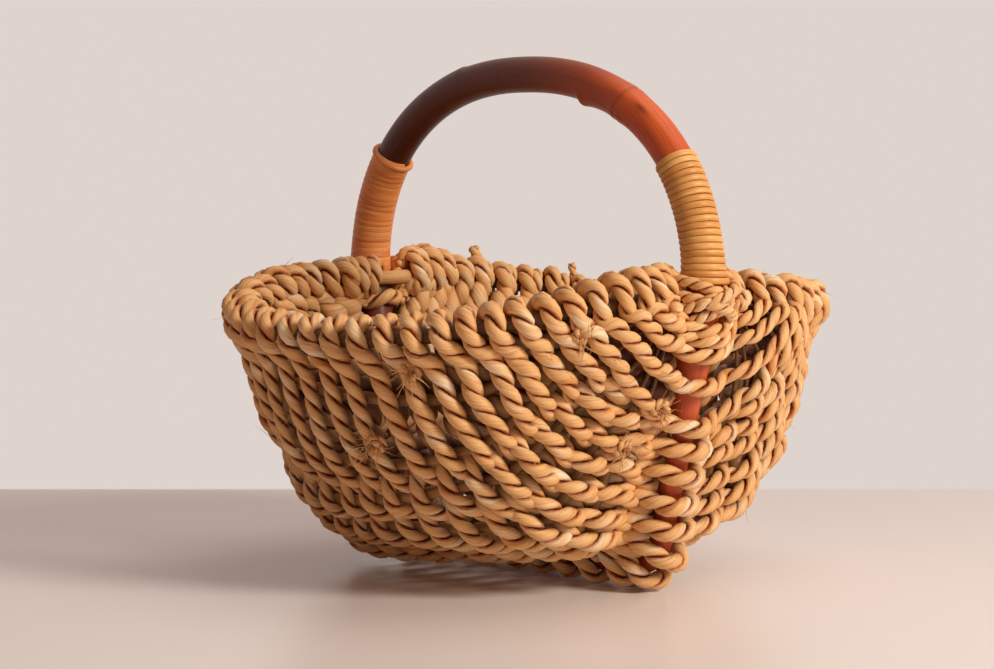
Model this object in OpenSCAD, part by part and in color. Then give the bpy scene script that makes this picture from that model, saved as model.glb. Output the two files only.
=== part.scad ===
// Gathering basket: a rib basket of twisted seagrass cord on a rattan frame.
// One bent pole is both the handle and the keel. A thinner hoop is the rim.
// Ribs run from one crossing of pole and rim to the other, and rows of cord run
// across them from rim to rim, over every second rib.
// X runs through both crossings, Y across the handle, Z up from the floor, in millimetres.

/* [Handle] */
// Diameter of the bent rattan pole where the hand holds it
pole_d = 16; // [14:0.5:18]
// Diameter of the pole where it runs under the base
pole_low_d = 12; // [10:0.5:14]
// Half the distance between the two crossings of pole and rim
half_span = 108; // [102:1:116]
// Rise of the arch above the crossings, along the pole's centre
arch_rise = 94; // [80:1:110]
// Fullness of the arch's shoulders, where 2 is an ellipse
arch_power = 2.25; // [2:0.05:2.6]
// Half the distance between the pole's two bends at the base
foot_half_span = 81; // [74:1:88]
// Radius of the pole's bends at the base
foot_bend_r = 16; // [14:1:22]

/* [Rim] */
// Height of the rim hoop's centre at the crossings
rim_height = 128; // [118:1:140]
// Half the width of the rim across the handle
rim_half_width = 122; // [110:1:134]
// How far the rim dips between the crossings
rim_dip = 17; // [8:1:24]
// Shape of that dip, where 2 is a parabola
dip_power = 2.35; // [2:0.05:2.6]
// Fullness of the rim's corners seen from above, where 2 is an ellipse
rim_power = 2.6; // [2.2:0.05:3]
// Diameter of the rim hoop
rim_hoop_d = 6.5; // [5:0.25:8]
// Cord that covers the rim hoop, measured out from the hoop
rim_cover = 8.4; // [7:0.2:10]

/* [Belly] */
// Height of the belly's lowest rib line at the right-hand end
belly_right_z = 23; // [20:1:28]
// Height of the belly's lowest rib line at the left-hand end
belly_left_z = 9; // [8:1:18]
// Half the length of the belly's base
belly_half_length = 77.5; // [70:0.5:84]
// Radius of the belly's lower corner at the right-hand end
belly_right_r = 11; // [8:1:20]
// Radius of the belly's lower corner at the left-hand end
belly_left_r = 24; // [14:1:28]
// Fullness of the belly across the handle at the right-hand end
belly_right_power = 2.46; // [2.1:0.02:3]
// Fullness of the belly across the handle at the left-hand end
belly_left_power = 3.8; // [2.6:0.1:4]
// Share by which the belly narrows downwards at the right-hand end
belly_right_taper = 0.09; // [0:0.01:0.3]
// Share by which the belly narrows downwards at the left-hand end
belly_left_taper = 0.43; // [0.2:0.01:0.5]

/* [Weave] */
// Rows of cord between the crossings
rows = 64; // [56:2:66]
// Thickness of a cord where it crosses a rib
cord_d = 9.5; // [8:0.25:11]
// Diameter of a rib
rib_d = 5; // [4:0.25:6]
// Room between a rod and the cord that it lies in
seat_gap = 0.3; // [0.2:0.05:0.5]
// Radius of the cord that is looped round the rim beside the pole
lash_r = 3.4; // [2.8:0.1:3.8]
// Rows at each end that close over the ribs without gaps
closed_rows = 10; // [10:1:16]

/* [Bindings] */
// Width of the cane that is wound round the pole
cane_w = 2.8; // [2.2:0.1:3.4]
// Thickness of that cane
cane_t = 1.4; // [1:0.1:2]
// Turns in each binding
cane_turns = 20; // [14:1:22]
// Height of the binding's lower end above the crossing
binding_start = 8; // [7:0.5:12]

/* [Hidden] */
sides = ["near", "far"];
ribs_per_side = 5;

// Steps along a curve, sides of a rod, rows from one ring of a rod to the next,
// and the least wall over a groove's floor
curve_steps = 144;
section_steps = 28;
corner_steps = 12;
arch_rings = 26;
pole_sides = 10;
rib_sides = 5;
hoop_sides = 6;
rod_skip = 3;
binding_sides = 8;
binding_bore_rings = 6;
thin_wall = 2.2;

// Radii of the rods, and of the seats that hold them
pole_r = pole_d / 2;
pole_low_r = pole_low_d / 2;
rib_r = rib_d / 2;
hoop_r = rim_hoop_d / 2;
hoop_seat_r = hoop_r + seat_gap;

// A groove's shape as shares of its seat's radius: half its width, its floor and its lips.
// With these shares its two slopes stay just clear of the seat's circle.
groove_half = 2;
groove_floor = 1.375;
groove_lip = -0.25;

// Rows stand this far out of the belly's mean surface, and the ribs lie inside it
row_proud = 7;
rib_inset = rib_r + seat_gap + cord_d - row_proud;
// The pole lies so low under the base that the cord below it is pressed flat on the floor
pole_base_z = shell_over(pole_low_r + seat_gap, false);
// The rim hoop springs in past the leaning pole, by both radii and the pole's lean
pole_lean = (half_span - foot_half_span) / (rim_height - pole_base_z);
hoop_bow = pole_r + hoop_r * (1 + pole_lean) + seat_gap;
hoop_bow_width = 30;
// Distance of the first row from the crossing along the rim, past the pole, and along the pole
first_row_room = 13;
first_row_rim = pole_r + first_row_room;
first_row_pole = 12;
// The wall starts this far past the pole's groove, or at this share of a narrow row's half width
groove_margin = 1;
narrow_start = 0.85;
// A rib's seat takes at most this share of the room between two ribs
seat_share = 0.2;
// The wall passes the rim hoop's seat by this much at the crossings
hoop_clear = 1;
// The cord rolled over the rim sinks by this much between two rows
roll_valley = 3.2;
// A binding's thickness between two turns of cane, as a share of the cane's
cane_valley = 0.35;
// The arch's own rings start this far from the crossings
arch_skip = 8;
// Half the length over which the arch's direction is taken, as a share of the arch
arch_step = 0.004;

// Loops of cord on the rim hoop, close beside the pole
lash_room = 3;
lash_at = pole_r + lash_r + lash_room;
lash_seat_r = hoop_r + 2 * seat_gap;

// One station a row
stations = rows;

// Small tools for vectors and curves
function unit(v) = v / norm(v);
function signed_pow(v, n) = sign(v) * pow(abs(v), n);
function mix(a, b, w) = a + (b - a) * w;
function smooth(w) = w * w * (3 - 2 * w);
function flat(lists) = [for (l = lists, v = l) v];
function mirror_y(p) = [p.x, -p.y, p.z];
function clamp_floor(p) = [p.x, p.y, max(p.z, 0)];

// Distance along a run of points, up to each point
function runs(p) =
    [for (i = 0, s = 0; i < len(p); s = s + norm(p[min(i + 1, len(p) - 1)] - p[i]), i = i + 1) s];

// A curve's points at given distances along it
function placed(p, distances) =
    let (s = runs(p), tables = [for (a = [0:2]) [for (i = [0:len(p) - 1]) [s[i], p[i][a]]]])
    [for (d = distances) [for (a = [0:2]) lookup(d, tables[a])]];

// A curve's points at even distances, leaving out a length at each end
function spaced(p, skip, n) =
    let (total = runs(p)[len(p) - 1])
    placed(p, [for (j = [0:n]) skip + (total - 2 * skip) * j / n]);

// A round corner at f, between straight runs towards p and q
function corner(p, f, q, r) =
    let (u = unit(p - f), v = unit(q - f), half = acos(u * v) / 2,
         c = f + unit(u + v) * r / sin(half),
         a = f + u * r / tan(half) - c,
         b = f + v * r / tan(half) - c)
    [for (i = [0:corner_steps]) c + r * unit(mix(a, b, i / corner_steps))];

// A run from the right-hand crossing down, along the base and up to the left-hand one
function under(right_foot, left_foot, right_r, left_r) =
    let (top_r = [half_span, 0, rim_height], top_l = [-half_span, 0, rim_height])
    concat([top_r], corner(top_r, right_foot, left_foot, right_r),
           corner(right_foot, left_foot, top_l, left_r), [top_l]);

// Half the rim hoop, from the right-hand crossing to the left-hand one, at positive Y
function rim_point(a) =
    let (y = rim_half_width * pow(abs(sin(a)), 2 / rim_power),
         bow = hoop_bow * exp(-pow(y / hoop_bow_width, 2)),
         x = half_span * pow(abs(cos(a)), 2 / rim_power) - bow)
    [sign(cos(a)) * x, y, rim_height - rim_dip * pow(y / rim_half_width, dip_power)];
rim_half = [for (i = [0:curve_steps]) rim_point(180 * i / curve_steps)];
rim_line = spaced(rim_half, first_row_rim, stations);

// The pole's lower run and its arch
pole_under = under([foot_half_span, 0, pole_base_z], [-foot_half_span, 0, pole_base_z],
                   foot_bend_r, foot_bend_r);
pole_line = spaced(pole_under, first_row_pole, stations);
arch = [for (i = [0:curve_steps])
    let (a = 180 * i / curve_steps)
    [half_span * signed_pow(cos(a), 2 / arch_power), 0,
     rim_height + arch_rise * pow(abs(sin(a)), 2 / arch_power)]];
arch_length = runs(arch)[curve_steps];

// The belly's own line under the base, which sits higher than the pole at the right-hand foot
belly_line = spaced(under([belly_half_length, 0, belly_right_z],
                          [-belly_half_length, 0, belly_left_z],
                          belly_right_r, belly_left_r), first_row_pole, stations);

// Pole radius along its lower run: full at the crossings, slim under the base
function low_r(j) =
    let (down = (rim_height - pole_line[j].z) / (rim_height - pole_base_z))
    mix(pole_r, pole_low_r, smooth(min(1, max(0, down))));
function pole_seat(j) = low_r(j) + seat_gap;

// One row's half section across the belly, from beside the pole to the rim
function section(j) =
    let (w = smooth(j / stations),
         power = mix(belly_right_power, belly_left_power, w),
         taper = mix(belly_right_taper, belly_left_taper, w),
         middle = [(rim_line[j].x + belly_line[j].x) / 2, 0, rim_height],
         out = rim_line[j] - middle,
         down = belly_line[j] - middle,
         all = [for (i = [0:section_steps])
             let (a = 90 * i / section_steps, s = pow(sin(a), 2 / power), c = pow(cos(a), 2 / power))
             middle + out * s * (1 - taper * c) + down * c],
         start_y = min(groove_half * pole_seat(j) + groove_margin, narrow_start * rim_line[j].y),
         beyond = [for (p = all) if (p.y > start_y) p],
         last = [for (p = all) if (p.y <= start_y) p],
         before = last[len(last) - 1],
         first = mix(before, beyond[0], (start_y - before.y) / (beyond[0].y - before.y)))
    concat([first], beyond);

// The belly's net of points at positive Y: one list a station, from beside the pole to the rim
bays = ribs_per_side + 1;
net = [for (j = [0:stations]) spaced(section(j), 0, bays)];
function along(j, i) = net[min(j + 1, stations)][i] - net[max(j - 1, 0)][i];
function across(j, i) = net[j][min(i + 1, bays)] - net[j][max(i - 1, 0)];
function out_of(j, i) = unit(cross(along(j, i), across(j, i)));
function up_wall(j, i) = unit(cross(out_of(j, i), along(j, i)));

// A rib is whittled to a point where the ribs crowd together at the crossings
function rib_room(j) = norm(net[j][2] - net[j][1]);
function rib_seat(j) = min(rib_r + seat_gap, seat_share * rib_room(j));
// At the crossings the wall passes outside the rim hoop, and further on inside the mean surface
crowded_room = 6;
free_room = 14;
function freedom(j) =
    smooth(min(1, max(0, (rib_room(j) - crowded_room) / (free_room - crowded_room))));
function rib_centre(j, k) =
    net[j][k] - out_of(j, k) * mix(-hoop_seat_r - hoop_clear, rib_inset, freedom(j));
least_rib_r = 0.8;
rib_stations = [for (j = [0:rod_skip:stations]) if (rib_seat(j) - seat_gap >= least_rib_r) j];

// Places round a seat, as shares of its radius along the wall and out of it
function beside(centre, across_dir, out_dir, a, o) = centre + across_dir * a + out_dir * o;

// A row passes over every second rib and dives under the others. The next row does the opposite,
// and only every second row passes over the pole and over the rim.
function is_crest(j) = j % 2 == 1;
function passes_over(j, k) = is_crest(j + k);
function shell_over(r, proud) = proud ? r + cord_d : groove_floor * r + thin_wall;

// The wall's section at one station, as one closed loop of points.
// Outside, from the far rim under the base to the near rim: 5 points round the rim,
// 2 for each rib and 2 for the pole. Inside, back again: 4 round the rim's seat and
// 3 for each groove.
roll_step = 52;
seat_step = 83;
roll_turns = [for (i = [4:-1:0]) roll_step * i];
seat_turns = [for (i = [3:-1:0]) roll_turns[0] - seat_step * i];
seat_corner = (hoop_seat_r + seat_gap) / cos(seat_step / 2);
function round_rim(j, turns, r) =
    [for (a = turns)
        beside(net[j][bays], up_wall(j, bays), out_of(j, bays), r * sin(a), r * cos(a))];
function roll(j) =
    round_rim(j, roll_turns, hoop_r + rim_cover - (is_crest(j) ? 0 : roll_valley));
function rim_seat(j) = round_rim(j, seat_turns, seat_corner);
function rib_outside(j, k) =
    let (r = rib_seat(j), o = shell_over(r, passes_over(j, k)))
    [for (s = [1, -1]) beside(rib_centre(j, k), up_wall(j, k), out_of(j, k), s * groove_half * r, o)];
function rib_groove(j, k) =
    let (r = rib_seat(j))
    [for (g = [[-groove_half, groove_lip], [0, groove_floor], [groove_half, groove_lip]])
        beside(rib_centre(j, k), up_wall(j, k), out_of(j, k), g[0] * r, g[1] * r)];
function pole_along(j) = pole_line[min(j + 1, stations)] - pole_line[max(j - 1, 0)];
function pole_out(j) = unit(cross(pole_along(j), [0, 1, 0]));
function pole_outside(j) =
    let (r = pole_seat(j), o = shell_over(r, is_crest(j)))
    [for (s = [1, -1]) beside(pole_line[j], [0, 1, 0], pole_out(j), s * r, o)];
function pole_groove(j) =
    let (r = pole_seat(j))
    [for (g = [[-groove_half, groove_lip], [0, groove_floor], [groove_half, groove_lip]])
        beside(pole_line[j], [0, 1, 0], pole_out(j), g[0] * r, g[1] * r)];
function half_outside(j) = concat(roll(j), [for (k = [ribs_per_side:-1:1], p = rib_outside(j, k)) p]);
function half_inside(j) =
    concat([for (k = [1:ribs_per_side], p = rib_groove(j, k)) p], rim_seat(j));
function mirrored(points) = [for (i = [len(points) - 1:-1:0]) mirror_y(points[i])];
function wall_loop(j) =
    [for (p = concat(half_outside(j), pole_outside(j), mirrored(half_outside(j)),
                     mirrored(half_inside(j)), pole_groove(j), half_inside(j)))
        clamp_floor(p)];

// Where each rib's and the pole's points stand in that loop: [first outside, first inside]
roll_n = len(roll_turns);
seat_n = len(seat_turns);
outside_n = 2 * roll_n + 4 * ribs_per_side + 2;
loop_n = outside_n + 2 * seat_n + 6 * ribs_per_side + 3;
function cell(k) = let (i = ribs_per_side - k) [roll_n + 2 * i, loop_n - seat_n - 3 - 3 * i];
cells = [for (k = [ribs_per_side:-1:-ribs_per_side]) cell(k)];

// Gaps show the ribs at every second place where a row dives under, and the pole in two places
// at the right. A gap reaches from the row before to the row after.
pole_gaps = [4, 7];
function has_gap(k, first) =
    k == 0 ? len(search(first, pole_gaps)) > 0
    : first >= closed_rows && first <= rows - closed_rows - 2 && (first + abs(k)) % 4 == 1;
gaps = [for (k = [ribs_per_side:-1:-ribs_per_side], first = [0:rows - 2])
    if (has_gap(k, first)) [cell(k)[0], cell(k)[1], first]];
function in_gap(j, m) =
    len([for (g = gaps)
        if ((j == g[2] || j == g[2] + 1) && (m == g[0] || m == g[1] || m == g[1] + 1)) 1]) > 0;

function at(j, m) = j * loop_n + m % loop_n;
function pair(a, b, c, d) = [[a, b, c], [a, c, d]];
// The face of a rib's or the pole's part of the section, at one station
function cell_face(j, p, q) =
    [[at(j, p), at(j, p + 1), at(j, q + 1)], [at(j, p + 1), at(j, q), at(j, q + 1)],
     [at(j, q + 1), at(j, q + 2), at(j, p)]];
function turned(faces) = [for (f = faces) [f[2], f[1], f[0]]];
function gap_faces(p, q, j) =
    concat(cell_face(j, p, q), turned(cell_face(j + 2, p, q)),
        flat([for (i = [j, j + 1])
            concat(pair(at(i + 1, p), at(i, p), at(i, q + 2), at(i + 1, q + 2)),
                   pair(at(i, p + 1), at(i + 1, p + 1), at(i + 1, q), at(i, q)))]));
// The whole section's face, which closes the wall at its first and last station
function end_face(j) =
    let (near_roll = outside_n - roll_n)
    concat(
        flat([for (c = cells) cell_face(j, c[0], c[1])]),
        flat([for (i = [0:len(cells) - 2])
            let (c = cells[i])
            pair(at(j, c[0] + 1), at(j, c[0] + 2), at(j, c[1] - 1), at(j, c[1]))]),
        flat([for (i = [0:seat_n - 2])
            concat(pair(at(j, i), at(j, i + 1), at(j, loop_n - 2 - i), at(j, loop_n - 1 - i)),
                   pair(at(j, outside_n - 2 - i), at(j, outside_n - 1 - i),
                        at(j, outside_n + i), at(j, outside_n + i + 1)))]),
        [[at(j, roll_n - 2), at(j, roll_n - 1), at(j, loop_n - seat_n)],
         [at(j, near_roll), at(j, near_roll + 1), at(j, outside_n + seat_n - 1)]],
        pair(at(j, roll_n - 1), at(j, roll_n), at(j, loop_n - seat_n - 1), at(j, loop_n - seat_n)),
        pair(at(j, near_roll - 1), at(j, near_roll),
             at(j, outside_n + seat_n - 1), at(j, outside_n + seat_n)));

// A solid through a list of rings, either with flat ends or closed on itself
module skin(rings, closed = false) {
    n = len(rings[0]);
    m = len(rings);
    joins = closed ? m - 1 : m - 2;
    function v(i, k) = (i % m) * n + k % n;
    around = [for (i = [0:joins], k = [0:n - 1])
        each pair(v(i, k), v(i, k + 1), v(i + 1, k + 1), v(i + 1, k))];
    ends = closed ? [] : [[for (k = [n - 1:-1:0]) v(0, k)], [for (k = [0:n - 1]) v(m - 1, k)]];
    polyhedron(flat(rings), concat(around, ends));
}

// A ring of points round a centre, in the plane of two directions
function ring(c, a, b, r, n) =
    [for (k = [0:n - 1]) let (turn = 360 * k / n) c + r * (a * cos(turn) + b * sin(turn))];

// A place on the arch, at a share of its length from the right-hand crossing
arch_fine = spaced(arch, 0, 2 * curve_steps);
function arch_at(t) =
    let (x = t * 2 * curve_steps, i = min(floor(x), 2 * curve_steps - 1))
    mix(arch_fine[i], arch_fine[i + 1], x - i);

// The bent pole: arch, two leaning legs and the run under the base, as one closed rod
module handle_hoop() {
    function crossing(x_sign) =
        ring([x_sign * half_span, 0, rim_height], [x_sign, 0, 0], [0, 1, 0], pole_r, pole_sides);
    legs = [for (j = [0:rod_skip:stations]) ring(pole_line[j], pole_out(j), [0, 1, 0], low_r(j), pole_sides)];
    high = [for (i = [0:arch_rings])
        let (t = mix(arch_length - arch_skip, arch_skip, i / arch_rings) / arch_length,
             d = arch_at(t - arch_step) - arch_at(t + arch_step))
        ring(arch_at(t), unit(cross(d, [0, 1, 0])), [0, 1, 0], pole_r, pole_sides)];
    color("#8b4526") skin(concat([crossing(1)], legs, [crossing(-1)], high), closed = true);
}

// The rim hoop, bowed in past the pole at both crossings
module rim_hoop() {
    rim_length = runs(rim_half)[curve_steps];
    half = concat(placed(rim_half, [0, lash_at]), [for (j = [0:rod_skip:stations]) rim_line[j]],
                  placed(rim_half, [rim_length - lash_at, rim_length]));
    path = concat(half, [for (i = [len(half) - 2:-1:1]) mirror_y(half[i])]);
    n = len(path);
    rings = [for (i = [0:n - 1])
        let (d = unit(path[(i + 1) % n] - path[(i + n - 1) % n]), side = unit(cross(d, [0, 0, 1])))
        ring(path[i], side, cross(side, d), hoop_r, hoop_sides)];
    color("#d29a5c") skin(rings, closed = true);
}

// One rib, pointed at both ends
module rib(k, side) {
    rings = [for (j = rib_stations)
        ring(rib_centre(j, k), out_of(j, k), up_wall(j, k), rib_seat(j) - seat_gap, rib_sides)];
    color("#d8a468")
        if (side == "far") skin(rings);
        else mirror([0, 1, 0]) skin(rings);
}

// The woven wall: rows of cord as ridges, rolled over the rim, with gaps where the ribs show
module woven_wall() {
    loops = [for (j = [0:stations]) wall_loop(j)];
    skins = [for (j = [0:stations - 1], m = [0:loop_n - 1])
        if (!in_gap(j, m)) each pair(at(j, m), at(j, m + 1), at(j + 1, m + 1), at(j + 1, m))];
    holes = [for (g = gaps) each gap_faces(g[0], g[1], g[2])];
    ends = concat(turned(end_face(0)), end_face(stations));
    color("#c9965f") polyhedron(flat(loops), turned(concat(skins, holes, ends)));
}

// A binding of cane wound tightly round the foot of the arch
module binding(end) {
    bore = (pole_r + seat_gap) / cos(180 / binding_sides);
    rings_n = 2 * cane_turns;
    function place(i, n) = (binding_start + cane_turns * cane_w * i / n) / arch_length;
    function turn(t, r) =
        let (d = unit(arch_at(t + arch_step) - arch_at(t - arch_step)))
        ring(arch_at(t), unit(cross(d, [0, 1, 0])), [0, 1, 0], r, binding_sides);
    outside = [for (i = [0:rings_n])
        turn(place(i, rings_n), bore + cane_t * (i % 2 == 1 ? 1 : cane_valley))];
    inside = [for (i = [binding_bore_rings:-1:0]) turn(place(i, binding_bore_rings), bore)];
    color("#d09a58")
        if (end == "right") skin(concat(outside, inside), closed = true);
        else mirror([1, 0, 0]) skin(concat(outside, inside), closed = true);
}

// A loop of cord round the rim hoop beside the pole
module rim_loop(x_sign, y_sign) {
    p = placed(rim_half, [lash_at - 1, lash_at, lash_at + 1]);
    d = p[2] - p[0];
    translate([x_sign * p[1].x, y_sign * p[1].y, p[1].z])
        rotate([0, 0, atan2(y_sign * d.y, x_sign * d.x)])
            rotate([0, 90, 0])
                rotate_extrude() translate([lash_seat_r + lash_r, 0]) circle(r = lash_r);
}

// Loops on both sides of the pole at the right, and on the near side at the left
module lashing(x_sign, y_signs) {
    color("#c9965f")
        for (y_sign = y_signs) rim_loop(x_sign, y_sign);
}

handle_hoop();
rim_hoop();
woven_wall();
binding("left");  // binding_left
binding("right");  // binding_right
lashing(-1, [-1]);  // lashing_left
lashing(1, [-1, 1]);  // lashing_right
for (s = sides, k = [1:ribs_per_side])
    rib(k, s);
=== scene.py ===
# %% [markdown]
# # A gathering basket of twisted cord
# The solids come from OpenSCAD and hold the basket's true size. Here every rod, cane and cord is
# modelled over again as the maker would have laid it, and stands for the solid that it covers.

# %% Load the solids
import math

import bpy
import numpy as np
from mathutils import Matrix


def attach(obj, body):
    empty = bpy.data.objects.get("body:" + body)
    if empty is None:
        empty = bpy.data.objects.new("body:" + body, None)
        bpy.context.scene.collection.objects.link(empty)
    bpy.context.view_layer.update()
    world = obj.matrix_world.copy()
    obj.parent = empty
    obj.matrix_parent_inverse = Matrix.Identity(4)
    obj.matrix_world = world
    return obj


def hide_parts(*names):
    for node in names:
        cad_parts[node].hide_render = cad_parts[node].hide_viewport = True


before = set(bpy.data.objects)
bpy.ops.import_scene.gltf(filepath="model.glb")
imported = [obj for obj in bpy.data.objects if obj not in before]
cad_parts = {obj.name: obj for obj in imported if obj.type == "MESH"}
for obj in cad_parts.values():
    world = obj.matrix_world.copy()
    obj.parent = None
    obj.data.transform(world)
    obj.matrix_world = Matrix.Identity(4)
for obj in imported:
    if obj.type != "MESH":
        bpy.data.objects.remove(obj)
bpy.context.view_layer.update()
MM = 0.001

# %% [markdown]
# ## Camera
# Every choice of detail depends on what the camera sees. Placed by eye it would make each
# proportion a guess, so its place was worked out from the handle's arch and the rim: a long lens,
# a little above the rim, looking at the corner where the handle goes down into the wall.

# %% Camera
photo_width = 994
focal_px = 2769.5
sensor_mm = 36
camera_turn = math.radians(47.12)
camera_tilt = math.radians(4.26)
camera_place = (0.8968, -0.8508, 0.1982)
bpy.ops.object.camera_add(location=camera_place,
                          rotation=(math.pi / 2 - camera_tilt, 0, camera_turn))
camera = bpy.context.object
camera.name = "photo_camera"
camera.data.sensor_width = sensor_mm
camera.data.lens = focal_px * sensor_mm / photo_width
bpy.context.scene.camera = camera
print("lens in mm:", round(camera.data.lens, 1))

# %% [markdown]
# ## Colour and nodes
# Colours are written as they look on a screen, and one function turns them into the linear values
# that the renderer works with. A material is a few nodes joined by links, and one small function
# adds a node of any kind, sets it up and links it.

# %% Colour and node helpers
def linear(hex_colour):
    parts = [int(hex_colour[i:i + 2], 16) / 255 for i in (1, 3, 5)]
    return [p / 12.92 if p <= 0.04045 else ((p + 0.055) / 1.055) ** 2.4 for p in parts] + [1.0]


def add(tree, kind, inputs=None, stops=(), **settings):
    """An input that is a socket is linked, any other is set. stops are a ramp's (place, colour)."""
    node = tree.nodes.new("ShaderNode" + kind)
    for name, value in settings.items():
        setattr(node, name, value)
    for socket, value in (inputs or {}).items():
        if isinstance(value, bpy.types.NodeSocket):
            tree.links.new(value, node.inputs[socket])
        else:
            node.inputs[socket].default_value = value
    if stops:
        while len(node.color_ramp.elements) < len(stops):
            node.color_ramp.elements.new(0.5)
        for element, (place, colour) in zip(node.color_ramp.elements, stops):
            element.position = place
            element.color = linear(colour)
    return node


def new_material(name):
    material = bpy.data.materials.new(name)
    material.use_nodes = True
    tree = material.node_tree
    return material, tree, tree.nodes["Principled BSDF"]


print("mid grey in linear light:", round(linear("#808080")[0], 3))

# %% [markdown]
# ## Floor and light
# The basket stands on a plain pale floor that ends behind it, so that its shadow shows. A modelled
# backdrop would catch that shadow too, so the backdrop is the world's own colour, and it also shows
# in reflections. A small warm lamp at the right and in front gives the cords their round form, a
# broad weak one lifts the left-hand side, and a broad one overhead lights the inside.

# %% Floor
floor_end, floor_drop = 0.279, 0.0002
floor_length, floor_width = 4.0, 6.0
towards_camera = np.array([math.sin(camera_turn), -math.cos(camera_turn)])
middle = towards_camera * (floor_length / 2 - floor_end)
bpy.ops.object.select_all(action="DESELECT")
bpy.ops.mesh.primitive_plane_add(size=1, location=(middle[0], middle[1], -floor_drop),
                                 rotation=(0, 0, camera_turn))
table = bpy.context.object
table.name = "table_top"
table.scale = (floor_width, floor_length, 1)
bpy.ops.object.transform_apply(location=True, rotation=True, scale=True)
# Painted board, rolled and rubbed smooth: off-white with a soft, blurred reflection.
painted, tree, shader = new_material("painted_table")
shader.inputs["Base Color"].default_value = linear("#f6efec")
shader.inputs["Roughness"].default_value = 0.32
table.data.materials.append(painted)
print("floor ends", floor_end / MM, "mm behind the basket's middle")

# %% Light
world = bpy.data.worlds.new("pale_room")
bpy.context.scene.world = world
world.use_nodes = True
tree = world.node_tree
background = tree.nodes["Background"]
background.inputs["Color"].default_value = linear("#f2bca2")
background.inputs["Strength"].default_value = 0.16
seen = add(tree, "Background", {"Color": linear("#dfd3cd"), "Strength": 1.0})
path = add(tree, "LightPath")
shown = path.outputs["Is Camera Ray"]
for ray in ("Is Glossy Ray", "Is Transmission Ray"):
    shown = add(tree, "Math", {0: shown, 1: path.outputs[ray]}, operation="MAXIMUM").outputs[0]
both = add(tree, "MixShader", {0: shown, 1: background.outputs[0], 2: seen.outputs[0]})
tree.links.new(both.outputs[0], tree.nodes["World Output"].inputs["Surface"])
aim_height = 0.1


def lamp(name, right, front, up, size, power, colour):
    """A square lamp, placed in metres as the camera sees it and aimed at the basket."""
    turn = np.array([math.cos(camera_turn), math.sin(camera_turn)])
    place = turn * right + towards_camera * front
    bpy.ops.object.light_add(type="AREA", location=(place[0], place[1], up))
    light = bpy.context.object
    light.name = name
    aim = np.array([-place[0], -place[1], aim_height - up])
    light.rotation_euler = (math.acos(-aim[2] / np.linalg.norm(aim)), 0,
                            math.atan2(aim[1], aim[0]) - math.pi / 2)
    light.data.size = size
    light.data.energy = power
    light.data.color = linear(colour)[:3]


lamp("window", right=1.24, front=0.92, up=0.9, size=0.5, power=25, colour="#fff8ea")
lamp("room_fill", right=-0.6, front=1.4, up=0.7, size=1.2, power=0.5, colour="#ffb890")
lamp("ceiling", right=0.5, front=-0.1, up=1.6, size=1.2, power=7.5, colour="#fff0ea")
bpy.context.scene.view_settings.view_transform = "Standard"

# %% [markdown]
# ## The basket's lines
# Every rod and cord follows a few curves: the bent pole, the rim hoop, and the belly that hangs
# between them. They could be drawn over the solids by hand. Here they are worked out from the same
# sizes in millimetres, so that every piece meets its neighbours.

# %% Sizes
pole_r, pole_low_r = 8.0, 6.0
half_span, arch_rise, arch_power = 108.0, 94.0, 2.25
foot_half_span, foot_bend_r = 81.0, 16.0
rim_height, rim_half_width, rim_dip, dip_power, rim_power = 128.0, 122.0, 17.0, 2.35, 2.6
hoop_r, rib_r, seat_gap = 3.25, 2.5, 0.3
belly_half_length = 77.5
right_end = {"z": 23.0, "r": 11.0, "power": 2.46, "taper": 0.09}
left_end = {"z": 9.0, "r": 24.0, "power": 3.8, "taper": 0.43}
rows, ribs = 64, 5
groove_floor, thin_wall = 1.375, 2.2
pole_base_z = groove_floor * (pole_low_r + seat_gap) + thin_wall
pole_lean = (half_span - foot_half_span) / (rim_height - pole_base_z)
hoop_bow, hoop_bow_width = pole_r + hoop_r * (1 + pole_lean) + seat_gap, 30.0
first_row_rim, first_row_pole = 21.0, 12.0
print("rim", 2 * half_span, "by", 2 * rim_half_width, "mm, keel", round(pole_base_z, 1), "mm up")


# %% Tools for curves
curve_steps, corner_steps = 721, 25


def unit(v):
    return v / np.linalg.norm(v, axis=-1, keepdims=True)


def smooth(w):
    """0 to 1 with a soft start and end."""
    w = np.clip(w, 0, 1)
    return w * w * (3 - 2 * w)


def rise(x, start, end):
    """A soft step: 0 before the start, 1 past the end."""
    return smooth((x - start) / (end - start))


def mix(a, b, w):
    return a + (b - a) * w


def distances(points):
    return np.concatenate([[0], np.cumsum(np.linalg.norm(np.diff(points, axis=0), axis=1))])


def placed(points, where):
    """Points at the given lengths along a line."""
    along = distances(points)
    return np.stack([np.interp(where, along, points[:, a]) for a in range(3)], axis=1)


def spaced(points, skip, n):
    """n even steps along a line, with a length skipped at each end."""
    return placed(points, np.linspace(skip, distances(points)[-1] - skip, n + 1))


def round_corner(p, f, q, r):
    u, v = unit(p - f), unit(q - f)
    half = math.acos(u @ v) / 2
    centre = f + unit(u + v) * r / math.sin(half)
    a, b = f + u * r / math.tan(half) - centre, f + v * r / math.tan(half) - centre
    return centre + r * unit(a + (b - a) * np.linspace(0, 1, corner_steps)[:, None])


def under_run(half_length, right, left):
    """Down from the right-hand crossing, along the bottom and up to the left-hand one."""
    x, z = [half_span, half_length, -half_length, -half_span], [rim_height, right["z"], left["z"]]
    start, right_foot, left_foot, end = np.stack([x, np.zeros(4), [*z, rim_height]], axis=1)
    return np.vstack([start, round_corner(start, right_foot, left_foot, right["r"]),
                      round_corner(right_foot, left_foot, end, left["r"]), end])


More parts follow.
